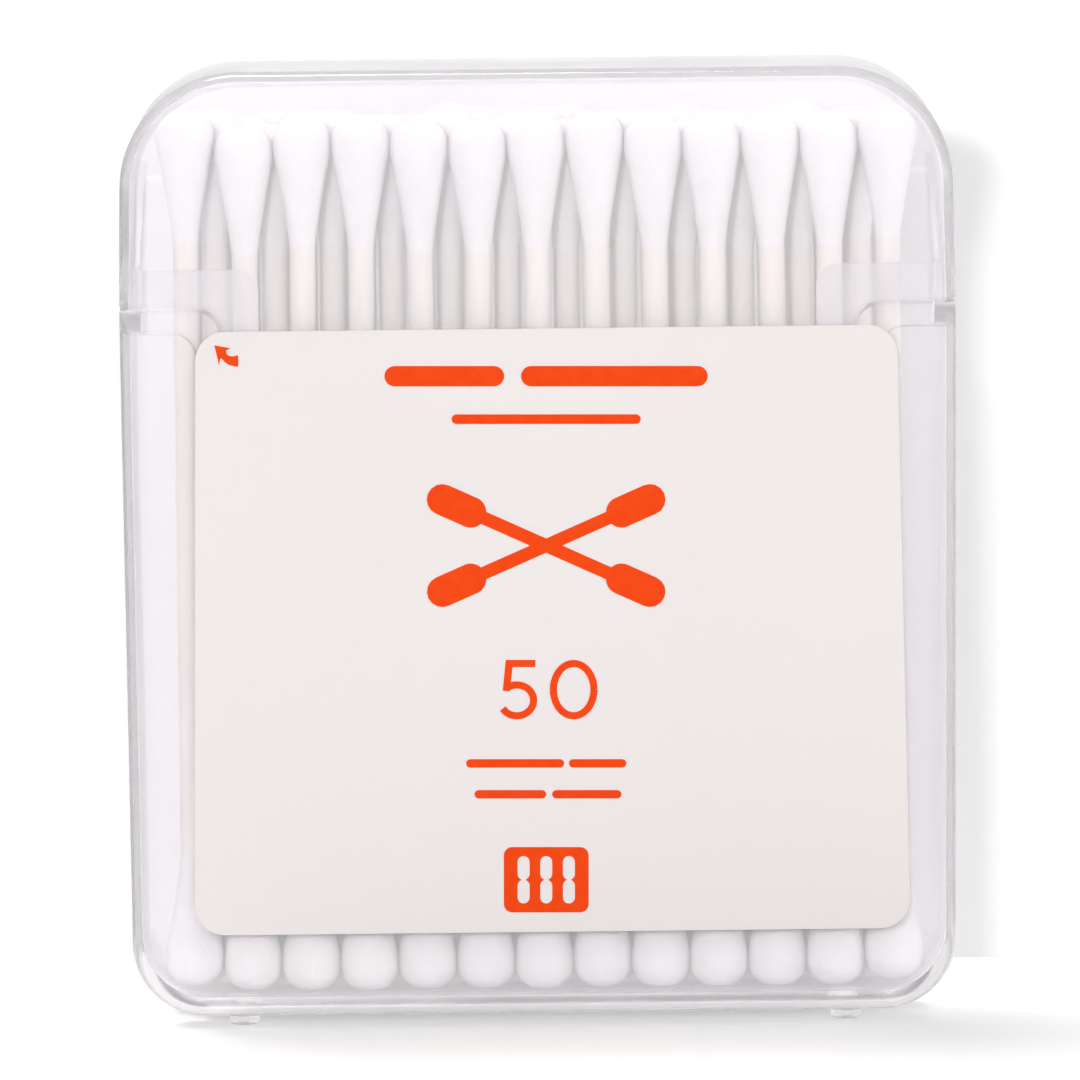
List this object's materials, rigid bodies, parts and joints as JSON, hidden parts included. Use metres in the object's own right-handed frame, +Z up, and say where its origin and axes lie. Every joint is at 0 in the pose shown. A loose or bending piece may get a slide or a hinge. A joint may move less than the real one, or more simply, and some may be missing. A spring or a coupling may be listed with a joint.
{
  "type": "travel cotton swab case",
  "caption": "Slim translucent flip-top travel case with rounded corners, a pale front label and cotton swabs standing in nested rows inside.",
  "frame": {"origin": "middle of the footprint, on the plane under the feet", "axes": "+Z up, the labelled front faces -Y, +X to the right of someone facing the front"},
  "size_m": [0.07, 0.0229, 0.0802],
  "materials": {
    "clear_plastic": "translucent moulded polypropylene, smooth with a faint haze",
    "label_film": null,
    "cotton": "wound white cotton on a rolled paper stick"
  },
  "bodies": {
    "case": {"case_body": "clear_plastic", "living_hinge": "clear_plastic", "swab_01": "cotton", "swab_02": "cotton", "swab_03": "cotton", "swab_04": "cotton", "swab_05": "cotton", "swab_06": "cotton", "swab_07": "cotton", "swab_08": "cotton", "swab_09": "cotton", "swab_10": "cotton", "swab_11": "cotton", "swab_12": "cotton", "swab_13": "cotton", "swab_14": "cotton", "swab_15": "cotton", "swab_16": "cotton", "swab_17": "cotton", "swab_18": "cotton", "swab_19": "cotton", "swab_20": "cotton", "swab_21": "cotton", "swab_22": "cotton", "swab_23": "cotton", "swab_24": "cotton", "swab_25": "cotton", "swab_26": "cotton", "swab_27": "cotton", "swab_28": "cotton", "swab_29": "cotton", "swab_30": "cotton", "swab_31": "cotton", "swab_32": "cotton", "swab_33": "cotton", "swab_34": "cotton", "swab_35": "cotton", "swab_36": "cotton", "swab_37": "cotton", "swab_38": "cotton", "swab_39": "cotton", "swab_40": "cotton", "swab_41": "cotton", "swab_42": "cotton", "swab_43": "cotton", "swab_44": "cotton", "swab_45": "cotton", "swab_46": "cotton", "swab_47": "cotton", "swab_48": "cotton", "swab_49": "cotton", "swab_50": "cotton"},
    "flip_lid": {"lid": "clear_plastic", "front_label": "label_film"}
  },
  "joints": [
    {"name": "lid_hinge", "type": "hinge", "parent": "case", "child": "flip_lid", "pos_m": [0, 0.011, 0.0704], "axis": [-1, 0, 0], "range_deg": [0, 120], "deforming": ["living_hinge"]}
  ]
}
